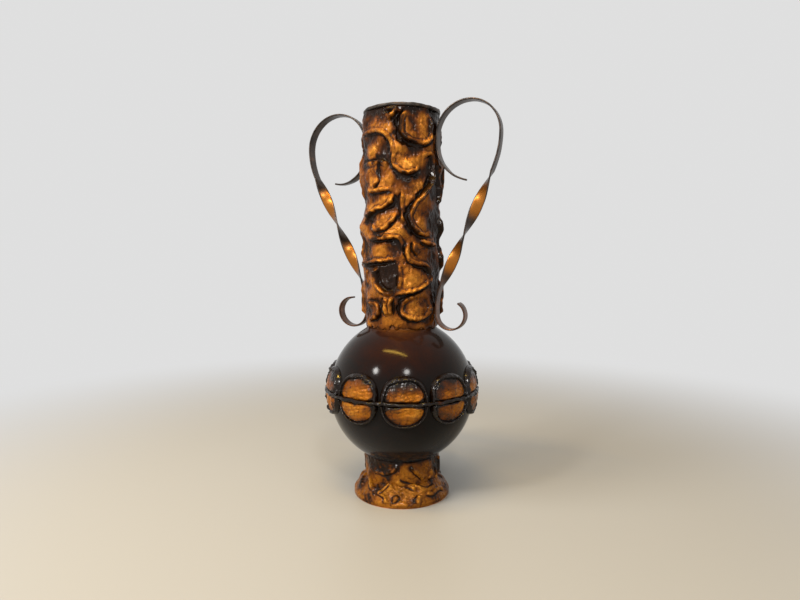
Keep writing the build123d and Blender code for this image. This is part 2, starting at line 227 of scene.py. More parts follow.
def eased(value, start, length):
    """Share of the way from a start over a length, held between nought and one."""
    return np.clip((value - start) / length, 0, 1)


def grid_piece(name, points, close_rows, replaced, marks=None):
    """Piece of a grid of points whose columns run round; rows close too where asked, and otherwise
    the poles are welded. Marks are values that the mesh carries for its material."""
    rows, columns = points.shape[:2]
    index = np.arange(rows * columns).reshape(rows, columns)
    index = np.hstack([index, index[:, :1]])
    if close_rows:
        index = np.vstack([index, index[:1]])
    corners = [index[:-1, :-1], index[:-1, 1:], index[1:, 1:], index[1:, :-1]]
    quads = np.stack(corners, -1).reshape(-1, 4)
    mesh = bpy.data.meshes.new(name)
    mesh.from_pydata((points.reshape(-1, 3) * MM).tolist(), [], quads.tolist())
    for mark, values in (marks or {}).items():
        carried = mesh.attributes.new(mark, "FLOAT", "POINT")
        carried.data.foreach_set("value", values.astype(np.float32).ravel())
    if not close_rows:
        work = bmesh.new()
        work.from_mesh(mesh)
        bmesh.ops.remove_doubles(work, verts=work.verts, dist=1e-6)
        work.to_mesh(mesh)
        work.free()
    mesh.shade_smooth()
    piece = bpy.data.objects.new(name, mesh)
    scene.collection.objects.link(piece)
    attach(piece, "root")
    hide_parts(*replaced)
    return piece


hole_turn = np.arccos(neck_hole / globe_radius)
profile_turn = np.concatenate([np.linspace(-np.pi / 2, hole_turn, outer_rows),
                               np.linspace(hole_turn, -np.pi / 2, inner_rows)])
profile_radius = np.repeat([globe_radius, globe_radius - globe_sheet], [outer_rows, inner_rows])
globe_points = spun(profile_radius * np.cos(profile_turn), profile_radius * np.sin(profile_turn),
                    full_turn(globe_columns))
way_out = globe_points / np.linalg.norm(globe_points, axis=-1, keepdims=True)
waves = wave_height * lumps(globe_points, wave_size, seed=3)
globe_points = globe_points + way_out * waves[..., None]
from_hole = np.hypot(globe_points[..., 0], globe_points[..., 1]) - neck_hole
solder = solder_height * np.exp(-from_hole / solder_fade)
globe_points[..., 2] += np.where(globe_points[..., 2] > 0, solder, 0.0) + globe_centre
# Painted reflection: an amber patch high on the globe, centred on the side facing the eye and repeated
# on the back; the copper tone round the neck is added to it.
facing = np.arctan2(globe_points[..., 1], globe_points[..., 0]) - np.radians(face_angle)
front = fall((facing + np.pi / 2) % np.pi - np.pi / 2, face_reflection_spread)
copper_and_reflection = face_reflection * front * eased(globe_points[..., 2], face_reflection_level, face_reflection_rise)
copper_and_reflection = copper_and_reflection + collar_glow * np.exp(-from_hole / collar_fade)
copper_and_reflection = np.where(globe_points[..., 2] > globe_centre, copper_and_reflection, 0.0)
globe = grid_piece("globe", globe_points, False,
                   ["globe_upper", "globe_lower"], {"copper_and_reflection": copper_and_reflection})


def ramp(tree, factor, stops):
    """Colour along a factor, from stops of place and colour."""
    made = tree.nodes.new("ShaderNodeValToRGB")
    tree.links.new(factor, made.inputs[0])
    elements = made.color_ramp.elements
    elements.remove(elements[1])
    elements[0].position = stops[0][0]
    elements[0].color = (*stops[0][1], 1.0)
    for place, colour in stops[1:]:
        elements.new(place).color = (*colour, 1.0)
    return made.outputs[0]


def blend(tree, factor, first, second, kind="MIX"):
    """Mixes two colours; each is a colour or the output that gives it."""
    made = tree.nodes.new("ShaderNodeMix")
    made.data_type = "RGBA"
    made.blend_type = kind
    first, second = ((*colour, 1.0) if isinstance(colour, tuple) else colour
                     for colour in (first, second))
    feed(tree, made, {0: factor, 6: first, 7: second})
    return made.outputs[2]


def noise(tree, size, detail=4.0, roughness=0.6, warp=0.0):
    """Cloudy noise in object space with features of a size in millimetres."""
    place = tree.nodes.new("ShaderNodeTexCoord").outputs["Object"]
    return put(tree, "TexNoise", {"Vector": place, "Scale": 1 / (size * MM), "Detail": detail,
                                  "Roughness": roughness, "Distortion": warp})


def carried_mark(tree, name):
    """Value of a mark that the mesh carries."""
    return put(tree, "Attribute", {}, attribute_name=name).node.outputs["Fac"]


material, tree, shader = new_material("dark_lacquer")
cloud = noise(tree, 22.0, detail=5.0, roughness=0.65, warp=1.2)
wander = rescaled(tree, cloud, (0.3, 0.7), (-0.10, 0.12))
# The carried mark holds the copper tone round the neck and the painted reflection.
share = combine(tree, "ADD", carried_mark(tree, "copper_and_reflection"), wander)
body = ramp(tree, share, [(0.0, (0.0045, 0.0033, 0.0030)), (0.20, (0.009, 0.0030, 0.0018)),
                          (0.45, (0.018, 0.0040, 0.0008)), (0.70, (0.048, 0.014, 0.0020)),
                          (1.0, (0.12, 0.039, 0.0050))])
specks = rescaled(tree, noise(tree, 5.0, detail=6.0, roughness=0.7), (0.52, 0.75), (0.0, 0.6))
body = blend(tree, specks, body, (0.007, 0.004, 0.003))
feed(tree, shader, {"Base Color": body, "Roughness": 0.12, "Specular IOR Level": 0.10,
                    "Sheen Weight": 0.06, "Sheen Roughness": 0.5})
globe.data.materials.append(material)

# FOOT
# A spun copper bell with a turned-in lip; its bare edge shows under a hand-modelled crust with
# vein-like folds, rubbed to mustard and amber on the high places and black in the hollows. The
# neck tube and the lugs of the handles are of the same bare copper.
bell_middle = -0.38
bell_drop = 26.4
bell_radius = 60.0
bell_rows = 80
stem_radius = 38.5
stem_top = 45.4
stem_gap = 0.4
stem_rows = 60
foot_edge = 1.5
foot_edge_crust = 2.2
foot_columns = 180
crust_radius = 42.0
vein_width = 1.0
foot_rest = 1.5
foot_bank = 0.9
foot_roll = 1.8
foot_crease = 1.1
thinnest = 0.25
thickest = 4.5
edge_length = 3.0
under_crust = 0.12
collar_start = 41.0
collar_rise = 4.0
# Places of each vein: angle from the face in degrees, and level.
foot_veins = [
    [(-88, 19), (-77, 13), (-66, 9)],
    [(-62, 30), (-58, 25), (-60, 20.5), (-54, 15), (-41, 10.5)],
    [(-20, 22.7), (-28, 16.3), (-34, 9.5)],
    [(-16, 21), (-24, 14), (-29, 9.5)],
    [(-60, 37), (-48, 31.4), (-30, 29.2), (-17, 31.8), (-8, 36), (-4, 41.5)],
    [(52, 17), (45, 15.5), (33, 15), (20, 19.5), (5, 23.3), (-1, 25), (-5, 28)],
    [(2, 17.8), (10, 17), (17, 13.7)],
    [(-12, 5), (-7, 5.8), (-3, 9), (-7, 11.3), (-11, 9.3), (-12, 5)],
    [(12, 41), (15, 35), (26, 28.5), (33, 22)],
    [(62, 33), (68, 25), (62, 18.5)],
    [(46, 21), (56, 27), (53, 34)],
    [(-35, 11), (-23, 7.6), (-20, 3)],
    [(20, 11), (17, 7.5), (14, 4.5)],
    [(74, 41), (82, 31), (77, 21), (86, 10)],
    [(30, 10), (40, 7), (52, 9), (64, 6)],
]
# Each dark patch: angle from the face, level, reach and strength.
foot_dark = [
    (-48, 41, 10, 1.0), (-26, 38, 8, 1.0), (-64, 42, 9, 0.9), (-8, 43, 6, 0.8), (14, 39, 4, 0.6),
    (50, 20, 5, 0.9), (-43, 4, 6, 0.9), (-70, 12, 7, 0.8), (-37, 14, 4, 0.8), (-30, 20, 4, 0.7),
    (-22, 28, 5, 0.8), (68, 34, 6, 0.9), (25, 22, 3, 0.6), (12, 5, 4, 0.5), (43, 4, 6, 0.5),
    (62, 43, 9, 0.7), (84, 28, 10, 0.9), (78, 8, 8, 0.6), (8, 20, 3, 0.5), (-8, 8, 3, 0.4),
    (-58, 26, 4, 0.5), (30, 42, 6, 0.4),
]


def drawn(places, steps):
    """Smooth line through places, closed where the last place is the first."""
    knots = np.array(places, float)
    closed = np.allclose(knots[0], knots[-1])
    before = knots[-2] if closed else 2 * knots[0] - knots[1]
    after = knots[1] if closed else 2 * knots[-1] - knots[-2]
    run = np.vstack([before, knots, after])
    p, q, r, s = (run[i:len(run) - 3 + i, None] for i in range(4))
    t = np.linspace(0, 1, steps, endpoint=False)[:, None]
    curve = q + 0.5 * t * (r - p + t * (2 * p - 5 * q + 4 * r - s + t * (3 * q - p - 3 * r + s)))
    return np.vstack([curve.reshape(-1, knots.shape[1]), knots[-1:]]), closed


def beside(line, x, y, turn):
    """Distance of each point from a line, positive on its left, and the share of the line passed;
    x repeats every turn."""
    best = np.full(x.shape, 1e9)
    side = np.zeros(x.shape)
    share = np.zeros(x.shape)
    for k, ((ax, ay), (bx, by)) in enumerate(zip(line[:-1], line[1:])):
        px = (x - ax + turn / 2) % turn - turn / 2
        py = y - ay
        ex, ey = bx - ax, by - ay
        part = np.clip((px * ex + py * ey) / (ex * ex + ey * ey), 0, 1)
        gap = np.hypot(px - part * ex, py - part * ey)
        near = gap < best
        best = np.where(near, gap, best)
        side = np.where(near, np.sign(ex * py - ey * px), side)
        share = np.where(near, (k + part) / (len(line) - 1), share)
    return best * side, share


def modelled(strokes, x, y, vary):
    """Banks, rolls, creases, smoke and seams of a relief that is drawn on half a turn and repeated
    on the other. A stroke is a line of places, each with a width, that wanders a little: a dark
    crease with a rolled edge, a seam and a falling bank on its left, and smoke round it."""
    steps = 8
    bank_fall = 11
    roll_place = 2.4
    roll_half = 2.0
    seam_place = 5.6
    seam_half = 1.0
    wander = 0.3 * vary[:, : x.shape[1]]
    x = x + wander
    y = y + 0.8 * wander[:, ::-1]
    banks, rolls, creases, smoke, seams = np.zeros((5, *vary.shape))
    for places in strokes:
        line, closed = drawn(places, steps)
        path = line[:, :2] * (np.radians(crust_radius), 1.0)
        gap, share = beside(path, x, y, np.pi * crust_radius)
        width = np.interp(share, np.linspace(0, 1, len(line)), line[:, 2])
        gap, share, width = (np.tile(part, (1, 2)) for part in (gap, share, width))
        fade = 1.0 if closed else np.clip(np.minimum(share, 1 - share) * 8, 0, 1)
        half = 0.5 * width * (1 + 0.25 * vary)
        bank = np.clip(gap + 0.4, 0, 1) * np.exp(-np.clip(gap, 0, 99) / bank_fall)
        roll = fall(gap - roll_place, roll_half + 0.3 * vary)
        seam = fall(gap - seam_place - 0.5 * vary, seam_half) * np.clip(0.3 * width, 0, 1)
        crease = np.clip(0.4 + 0.2 * width, 0, 1.3) * fall(gap + 0.6 * half, 0.8 * half + 0.3)
        haze = np.exp(-np.abs(gap + half) / (1.5 + width)) * np.clip(0.25 * width, 0, 1.2)
        banks = np.maximum(banks, fade * bank)
        rolls = np.maximum(rolls, fade * roll)
        seams = np.maximum(seams, fade * seam)
        creases = np.maximum(creases, fade * crease)
        smoke = np.maximum(smoke, fade * haze)
    return banks, rolls, creases, smoke, seams


def softened(values, rows, columns):
    """Values averaged over a soft spot of some rows and columns; columns run round, rows are
    mirrored at their ends."""
    both = np.vstack([values, values[::-1]])
    up = np.fft.fftfreq(len(both))[:, None] * rows
    aside = np.fft.fftfreq(both.shape[1]) * columns
    spot = np.exp(-2 * np.pi**2 * (up**2 + aside**2))
    return np.fft.ifft2(np.fft.fft2(both) * spot).real[: len(values)]


def patches(angles, heights, places):
    """Soft patches, each at an angle and height with a reach and a strength; angles repeat every
    half turn."""
    total = np.zeros((len(heights), len(angles)))
    for place_angle, place_height, reach, strength in places:
        aside = np.radians((angles - place_angle + 90) % 180 - 90) * crust_radius
        apart = np.hypot(aside[None, :], (heights - place_height)[:, None])
        total += strength * fall(apart, reach)
    return total


bell_end = np.arcsin((foot_edge + bell_drop) / (bell_radius + foot_edge_crust))
bell_top = np.arccos((stem_radius - bell_middle) / bell_radius)
lean = np.linspace(bell_end, bell_top, bell_rows)
stem_start = bell_radius * np.sin(bell_top) - bell_drop + stem_gap
stem_level = np.linspace(stem_start, stem_top, stem_rows)
bell_line = bell_middle + bell_radius * np.cos(lean)
base_radius = np.concatenate([bell_line, np.full(stem_rows, stem_radius)])
base_level = np.concatenate([bell_radius * np.sin(lean) - bell_drop, stem_level])
face_radius = np.concatenate([np.cos(lean), np.ones(stem_rows)])
face_level = np.concatenate([np.sin(lean), np.zeros(stem_rows)])
row_steps = np.hypot(np.diff(base_radius), np.diff(base_level))
along = np.concatenate([[0.0], np.cumsum(row_steps)])
angle = np.linspace(-90, 90, foot_columns, endpoint=False)
x, y = np.meshgrid(np.radians(angle) * crust_radius, along)
foot_lines = [[(turn, np.interp(up, base_level, along), vein_width) for turn, up in vein]
              for vein in foot_veins]
around = np.radians(face_angle) + np.radians(np.concatenate([angle, angle + 180]))
flat = spun(base_radius, base_level, around)
foot_lump = lumps(flat, size=17.0, seed=11)
foot_fine = lumps(flat, size=5.0, seed=12)
foot_waver = np.clip(lumps(flat, size=8.0, seed=13), -2, 2)
banks, rolls, creases, smoke, _ = modelled(foot_lines, x, y, foot_waver)
thick = foot_rest + foot_bank * banks + (foot_roll + 0.4 * foot_lump) * rolls - foot_crease * creases
thick = thick + 0.40 * foot_lump + 0.16 * foot_fine
edge_ease = eased(along, 0.0, edge_length)[:, None] * np.clip(along[-1] - along, 0.5, 1)[:, None]
thick = thinnest + np.clip(thick, thinnest, thickest) * edge_ease
way = spun(face_radius, face_level, around)
outer = flat + way * thick[..., None]
inner = (flat + way * under_crust)[::-8]
detail = thick - softened(thick, rows=3.5, columns=3.5)
soot_and_shade = 0.85 * creases + np.clip(-0.5 * detail, 0, 1) + 0.7 * smoke * (0.6 + 0.6 * foot_lump)
# Painted shade: the top of the foot, under the globe, is made darker.
soot_and_shade = soot_and_shade + 0.55 * eased(base_level, collar_start, collar_rise)[:, None]
dark = patches(np.degrees(around) - face_angle, base_level, foot_dark)
soot_and_shade = np.clip(soot_and_shade + dark * (1 + 0.35 * foot_fine), 0, 1)
rubbing_and_light = np.clip(1.1 * detail, 0, 1)
hidden = np.ones(inner.shape[:2])
foot_marks = {"soot_and_shade": np.concatenate([soot_and_shade, hidden]), "rubbing_and_light": np.concatenate([rubbing_and_light, 0 * hidden])}
foot = grid_piece("foot_crust", np.concatenate([outer, inner]), True,
                  ["foot_skin", "foot_veins"], foot_marks)


def crust_material(name, gold, brown, pale, fray, ink, gloss):
    """Bronzed paste: clouds of brown and gold, made pale where the mark of rubbing and painted light is
    high, blackened down to ink where the mark of soot and painted shade is high and glossy there, with
    fine grain and hair cracks."""
    material, tree, shader = new_material(name)
    cloud = noise(tree, 15.0, detail=6.0, roughness=0.65, warp=0.8)
    grain = noise(tree, 2.6, detail=6.0, roughness=0.7, warp=0.4)
    body = ramp(tree, cloud, [(0.28, brown), (0.47, gold), (0.60, gold), (0.74, pale)])
    body = blend(tree, carried_mark(tree, "rubbing_and_light"), body, pale)
    place = tree.nodes.new("ShaderNodeTexCoord").outputs["Object"]
    shift = combine(tree, "MULTIPLY", noise(tree, 6.0, detail=3.0), 0.008)
    bent = put(tree, "VectorMath", {0: place, 1: shift})
    cells = {"Vector": bent, "Scale": 1 / (7.5 * MM)}
    edge = put(tree, "TexVoronoi", cells, feature="DISTANCE_TO_EDGE")
    crack = rescaled(tree, edge, (0.0, 0.06), (1.0, 0.0))
    some = rescaled(tree, noise(tree, 11.0, detail=2.0), (0.46, 0.60), (0.0, 0.45))
    crack = combine(tree, "MULTIPLY", crack, some)
    frayed = rescaled(tree, grain, (0.3, 0.7), (-fray, fray))
    black = combine(tree, "ADD", carried_mark(tree, "soot_and_shade"), frayed)
    black = combine(tree, "ADD", black, crack)
    veil = ramp(tree, black, [(0.08, (1.0, 1.0, 1.0)), (0.36, (0.46, 0.37, 0.30)),
                              (0.66, (0.13, 0.10, 0.09)), (0.95, ink)])
    body = blend(tree, 1.0, body, veil, "MULTIPLY")
    mottle = ramp(tree, grain, [(0.32, (0.66, 0.60, 0.55)), (0.50, (1.0, 1.0, 1.0)),
                                (0.68, (1.25, 1.22, 1.15))])
    body = blend(tree, 1.0, body, mottle, "MULTIPLY")
    relief = combine(tree, "SUBTRACT", grain, crack)
    bump = put(tree, "Bump", {"Height": relief, "Strength": 0.45, "Distance": 0.0007})
    feed(tree, shader, {"Base Color": body, "Specular IOR Level": 0.10, "Coat Roughness": 0.06,
                        "Metallic": rescaled(tree, black, (0.0, 1.0), (0.35, 0.02)),
                        "Roughness": rescaled(tree, grain, (0.3, 0.7), (0.20, 0.42)),
                        "Coat Weight": rescaled(tree, black, (0.0, 1.0), (0.03, gloss)),
                        "Normal": bump})
    return material


foot.data.materials.append(crust_material(
    "mustard_crust", gold=(0.27, 0.094, 0.008), brown=(0.12, 0.038, 0.006), pale=(0.38, 0.15, 0.014),
    fray=0.18, ink=(0.035, 0.032, 0.035), gloss=0.18))

bare_copper, tree, shader = new_material("bare_copper")
tone = ramp(tree, noise(tree, 9.0, detail=5.0), [(0.3, (0.16, 0.055, 0.022)),
                                                 (0.6, (0.36, 0.14, 0.05)), (0.8, (0.5, 0.22, 0.09))])
feed(tree, shader, {"Base Color": tone, "Metallic": 0.9, "Roughness": 0.34})
for node in ("foot_shell", "neck_tube", "handle_lugs"):
    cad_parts[node].data.materials.clear()
    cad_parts[node].data.materials.append(bare_copper)

# NECK CRUST
# Bronzed paste modelled by hand over the whole neck: leather-like pads, rolled lips and deep
# grooves, drawn for one half of the turn and repeated on the other with different lumps.
neck_bottom = 186.6
neck_end = 416.1
neck_base = 39.4
neck_inside = 37.65
neck_columns = 220
neck_rows = 224
neck_rest = 0.4
neck_bank = 2.7
neck_roll = 2.0
neck_crease = 2.9
neck_seam = 0.7
neck_least = 38.0
neck_most = 46.5
end_thickness = 0.5
bottom_length = 4.0
under_ring = 413.5
under_ring_radius = 42.2
upper_lug, upper_lug_reach = 386.0, 16.0
lower_lug, lower_lug_reach = 204.0, 12.0
lug_width = 6.0
lug_radius = 40.6
ragged_rise = 1.1
ragged_fade = 6.0
smoked_end = 408.0
smoked_rise = 6.0
# Places of each stroke: angle from the face in degrees, level and width.
neck_strokes = [
    [(14, 413, 1.5), (3, 411, 2), (-3, 405, 4), (-4, 397, 6), (-3, 388, 6), (5, 382, 5),
     (18, 379, 4), (32, 378, 2.5), (45, 382, 2.5), (50, 391, 4), (51, 402, 4), (46, 411, 2)],
    [(-77, 391, 1.5), (-44, 391, 1.5), (-29, 388, 2), (-21, 382, 2.5), (-18, 375, 2), (-18, 361, 1.5)],
    [(-18, 359, 1.5), (-25, 362, 2), (-35, 364, 4.5), (-50, 363, 2.5), (-78, 364, 2)],
    [(-45, 333, 1.5), (-37, 340, 1.5), (-37, 348, 1.5), (-39, 356, 2.5), (-35, 363, 3.5)],
    [(-13, 373, 2.5), (-16, 365, 1.5), (-16, 358, 2), (-8, 351, 3), (5, 347, 5), (19, 349, 4),
     (29, 354, 3)],
    [(32, 364, 1.5), (45, 368, 2.5), (49, 363, 2.5), (49, 352, 3.5), (43, 340, 4), (31, 330, 3),
     (20, 322, 2.5), (13, 314, 4), (9, 305, 6), (12, 296, 5), (21, 288, 3.5), (35, 284, 2.5),
     (59, 286, 2.5)],
    [(-81, 300, 3.5), (-56, 306, 6), (-41, 311, 3.5), (-27, 313, 2.5), (-17, 317, 3.5),
     (-12, 322, 4.5), (-13, 328, 2)],
    [(-63, 330, 2), (-40, 330, 2), (-25, 331, 1.5), (-15, 330, 1.5)],
    [(-66, 283, 1.5), (-41, 280, 2.5), (-23, 281, 3), (-9, 281, 4), (-3, 276, 3), (-1, 269, 2)],
    [(-54, 300, 1.5), (-50, 292, 1.5), (-38, 289, 1.5), (-23, 292, 1.5), (-12, 300, 2), (-6, 308, 1.5)],
    [(-1, 330, 1.5), (-4, 319, 2.5), (-2, 310, 2), (-3, 298, 1.5)],
    [(6, 280, 2.5), (4, 271, 2), (6, 262, 1.5), (11, 257, 1.5), (23, 254, 2.5), (36, 253, 3.5),
     (44, 248, 4.5), (44, 241, 2.5)],
    [(-12, 222, 1.5), (3, 224, 2), (19, 226, 2.5), (36, 231, 2), (52, 238, 2), (57, 248, 1.5)],
    [(-86, 254, 3), (-51, 256, 3), (-33, 257, 2.5), (-18, 258, 2.5), (-8, 259, 1.5)],
    [(-12, 229, 1.5), (-23, 228, 2.5), (-35, 234, 3), (-39, 244, 2.5), (-37, 253, 2)],
    [(-8, 257, 1.5), (-6, 242, 2), (-8, 230, 1.5)],
    [(36, 227, 1.5), (16, 224, 2), (2, 219, 2.5), (-4, 211, 3.5), (-2, 204, 2.5), (8, 198, 2.5),
     (23, 196, 2), (42, 199, 2), (50, 208, 2.5), (48, 219, 2)],
    [(-27, 221, 2), (-29, 212, 2), (-27, 201, 1.5)],
    [(-13, 203, 1.5), (-14, 212, 2.5), (-13, 221, 1.5)],
    [(-67, 251, 2.5), (-71, 241, 2.5), (-63, 232, 2.5)],
    [(-60, 194, 1.5), (-38, 199, 1.5), (-34, 208, 2), (-41, 216, 1.5), (-62, 217, 1.5)],
    [(-17, 401, 1.5), (-11, 407, 2), (-3, 410, 1.5)],
    [(-26, 414, 1), (-21, 411, 2), (-12, 412, 1.5)],
    [(16, 279, 1.5), (15, 271, 1.5), (21, 264, 1.5)],
    [(28, 279, 1.5), (40, 275, 2), (59, 273, 1.5)],
    [(63, 362, 1.5), (66, 350, 2), (73, 334, 2.5), (69, 318, 2)],
    [(78, 308, 1.5), (72, 298, 2), (80, 286, 2.5), (76, 262, 2.5), (82, 246, 1.5)],
    [(80, 238, 1.5), (84, 224, 2), (79, 210, 2), (84, 198, 1.5)],
    [(84, 404, 1.5), (80, 386, 2.5), (88, 372, 2.5), (81, 352, 2), (90, 338, 2), (84, 322, 1.5)],
]
# Each bulge: angle from the face, level, half width, half height and rise.
bulges = [
    (-84, 350, 16, 13, 4.0), (-84, 322, 14, 8, -2.6), (-84, 296, 16, 12, 4.2),
    (-84, 271, 14, 8, -2.6), (-82, 248, 13, 11, 2.0), (-84, 378, 14, 8, -2.4),
    (-84, 400, 14, 12, 2.6), (-82, 215, 12, 14, -1.2), (82, 366, 10, 10, 1.8),
    (80, 318, 12, 16, 2.2), (82, 285, 10, 8, -1.4), (82, 262, 10, 12, 1.6), (78, 222, 12, 12, 1.0),
    (-2, 376, 6, 5, 1.2), (0, 292, 14, 6, 1.0),
]
# Each dark or bright patch: angle from the face, level, reach and strength. Dark patches are
# patina, but those from 56 to 66 degrees, beside the right handle, are painted shade; bright
# patches are partly rubbed paste and partly painted light.
dark_places = [
    (-6, 398, 5, 0.7), (2, 383, 5, 0.7), (20, 377, 5, 0.6), (49, 398, 6, 0.8), (66, 405, 14, 0.6),
    (-30, 405, 8, 0.4), (-52, 384, 8, 0.25), (-28, 365, 6, 0.5), (-70, 362, 8, 0.6),
    (46, 352, 10, 0.45), (56, 335, 10, 0.5), (-66, 345, 12, 0.4), (36, 310, 10, 0.30),
    (10, 295, 6, 0.5), (66, 300, 16, 0.5), (-62, 270, 12, 0.5), (-40, 284, 7, 0.4),
    (-24, 245, 12, 0.85), (-20, 237, 9, 0.5), (-55, 252, 8, 0.5), (62, 240, 16, 0.55),
    (25, 270, 8, 0.35), (-62, 403, 11, 0.5), (-80, 384, 10, 0.5), (-60, 206, 13, 0.5),
    (56, 212, 10, 0.5), (-10, 228, 6, 0.4),
]
bright_places = [
    (-42, 375, 7, 0.5), (-2, 335, 9, 0.6), (-50, 341, 7, 0.5), (-40, 318, 7, 0.5), (30, 341, 8, 0.5),
    (-5, 291, 7, 0.5), (22, 276, 6, 0.5), (12, 238, 8, 0.45), (-20, 212, 6, 0.5), (22, 400, 7, 0.4),
    (-17, 400, 8, 0.5), (5, 358, 6, 0.5), (-14, 382, 6, 0.4),
]
angle = np.linspace(-90, 90, neck_columns, endpoint=False)
level = np.linspace(neck_bottom, neck_end, neck_rows)
x, y = np.meshgrid(np.radians(angle) * crust_radius, level)
around = np.radians(face_angle + np.concatenate([angle, angle + 180]))
from_face = np.degrees(around) - face_angle
turned = (from_face + 90) % 180 - 90
flat = spun(np.full(neck_rows, crust_radius), level, around)
swell = lumps(flat, size=26.0, seed=21)
ripple = lumps(flat, size=8.0, seed=22)
wrinkle = lumps(flat * (1.0, 1.0, 0.55), size=4.5, seed=23)
banks, rolls, creases, smoke, seams = modelled(neck_strokes, x, y, np.clip(ripple, -2, 2))
radius = neck_base + neck_rest + neck_bank * banks
radius = radius + np.clip(neck_roll + 0.8 * swell, 0.7, 3.2) * rolls
radius = radius - neck_crease * creases - neck_seam * seams
radius = radius + 0.75 * swell + 0.20 * ripple + 0.14 * wrinkle
for place_angle, place_level, half_x, half_y, height in bulges:
    aside = np.radians((from_face - place_angle + 90) % 180 - 90) * crust_radius / half_x
    gap = np.hypot(aside[None, :], ((level - place_level) / half_y)[:, None])
    radius = radius + height * fall(gap, 1.0)
radius = np.clip(radius, neck_least, neck_most)
end_ease = eased(level, neck_bottom, bottom_length)[:, None]
end_radius = neck_inside + end_thickness
radius = end_radius + (radius - end_radius) * np.sqrt(end_ease)
radius = np.where(level[:, None] > under_ring, np.minimum(radius, under_ring_radius), radius)
seat = np.clip(1.6 - np.abs(crust_radius * np.sin(around)) / lug_width, 0, 1)[None, :]
high_seat = np.clip(1.4 - np.abs(level - upper_lug) / upper_lug_reach, 0, 1)[:, None]
low_seat = np.clip(1.4 - np.abs(level - lower_lug) / lower_lug_reach, 0, 1)[:, None]
radius = radius - np.clip(radius - lug_radius, 0, 9) * seat * np.maximum(high_seat, low_seat)
ragged = np.exp(-(level - neck_bottom) / ragged_fade)[:, None] * ragged_rise
ragged = ragged * (lumps(flat, size=9.0, seed=24) + 0.6)
outer = np.stack([radius * np.cos(around), radius * np.sin(around), flat[..., 2] + ragged], -1)
inner = outer[[-1, 0]].copy()
inner[..., 0] = neck_inside * np.cos(around)
inner[..., 1] = neck_inside * np.sin(around)
detail = radius - softened(radius, rows=2.6, columns=4.4)
broad = softened(radius, rows=2.0, columns=3.4)
broad = broad - softened(radius, rows=11.0, columns=19.0)
soot_and_shade = 0.95 * creases + np.clip(-0.35 * detail, 0, 1) + 0.48 * smoke * (0.9 + 0.4 * ripple)
soot_and_shade = soot_and_shade + (0.20 + 0.18 * ripple) * rolls + 0.45 * seams
# Darker in broad hollows: partly an antiquing wash, partly painted shade that follows the folds.
soot_and_shade = soot_and_shade + np.clip(-0.40 * broad - 0.05, -0.12, 0.6)
# The dark patches include painted shade beside the right handle.
soot_and_shade = soot_and_shade + patches(from_face, level, dark_places) * (1.3 + 0.3 * swell)
# Painted shade: darker from 34 degrees right of the face, easing off towards 90, and darker towards the
# left edge.
shade = 0.42 * eased(turned, 34, 30) - 0.17 * eased(turned, 76, 14) + 0.25 * eased(-turned, 62, 20)
soot_and_shade = soot_and_shade + 0.75 * eased(level, smoked_end, smoked_rise)[:, None] + shade[None, :]
soot_and_shade = np.clip(soot_and_shade, 0, 1)
# Lighter on broad hills and on the bright patches: partly rubbed paste, partly painted light.
rubbing_and_light = 1.3 * patches(from_face, level, bright_places) + 0.40 * broad + 0.25 * detail
rubbing_and_light = rubbing_and_light + 0.12 * rolls * np.clip(0.5 + 0.5 * swell, 0, 1) - 0.20 + 0.14 * ripple
rubbing_and_light = np.clip(rubbing_and_light, 0, 1)
hidden = np.ones(inner.shape[:2])
neck_marks = {"soot_and_shade": np.concatenate([soot_and_shade, hidden]), "rubbing_and_light": np.concatenate([rubbing_and_light, 0 * hidden])}
medallions = [f"{face}_medallion_{k:02d}" for face in ("front", "back") for k in range(1, 13)]
neck_crust = grid_piece("neck_crust", np.concatenate([outer, inner]), True,
                        ["neck_skin", "neck_folds"] + medallions, neck_marks)
neck_crust.data.materials.append(crust_material(
    "amber_crust", gold=(0.30, 0.104, 0.011), brown=(0.125, 0.041, 0.008), pale=(0.50, 0.20, 0.025),
    fray=0.14, ink=(0.035, 0.032, 0.035), gloss=0.18))

# MOUTH RING
# A flat ring of copper round the mouth, blackened and a little uneven, with rounded edges. It is
# soldered on the end of the neck tube.
ring_radius = 39.0
ring_half_width = 2.7
ring_level = 418.0
ring_half_height = 1.8
ring_roundness = 0.55
ring_corners = 24
ring_columns = 240


def squared(wave, power):
    """Sine or cosine raised to a power with its sign kept; a low power gives fuller corners."""
    return np.sign(wave) * np.abs(wave) ** power


corner = full_turn(ring_corners)
ring_points = spun(ring_radius + ring_half_width * squared(np.cos(corner), ring_roundness),
                   ring_level + ring_half_height * squared(np.sin(corner), ring_roundness),
                   full_turn(ring_columns))
ring_points[..., 2] += 0.25 * lumps(ring_points, size=14.0, seed=31)
ring_points[..., :2] *= (1 + 0.004 * lumps(ring_points, size=12.0, seed=32))[..., None]
mouth_ring = grid_piece("mouth_ring", ring_points, True, ["rim_ring"])
material, tree, shader = new_material("blackened_copper")
tone = ramp(tree, noise(tree, 6.0, detail=5.0, roughness=0.65),
            [(0.35, (0.028, 0.024, 0.020)), (0.62, (0.070, 0.052, 0.040)), (0.8, (0.15, 0.075, 0.040))])
feed(tree, shader, {"Base Color": tone, "Metallic": 0.6, "Roughness": 0.42})
mouth_ring.data.materials.append(material)

# HANDLES
# Flat copper strip, bent the easy way: tapered hook, seat on the neck, wide loop, straight shank
# with one full twist, seat, scroll. It is brazed to lugs on the neck. Loops are smoked dark, scrolls
# left brown, and the twists painted gold where their flat faces turn to the eye and to the back, a
# painted reflection.
strip_width = 12.0
strip_thickness = 2.0
strip_line = 42.2
strip_corners = 32
flat_roundness = 0.35
edge_roundness = 0.55
shank_steps = 160
shoulder_level = 185.793
seat_height = 8.0
scroll_rise = 16.0
taper_places = [0, 3, 26]
taper_shares = [0.40, 0.46, 1.0]


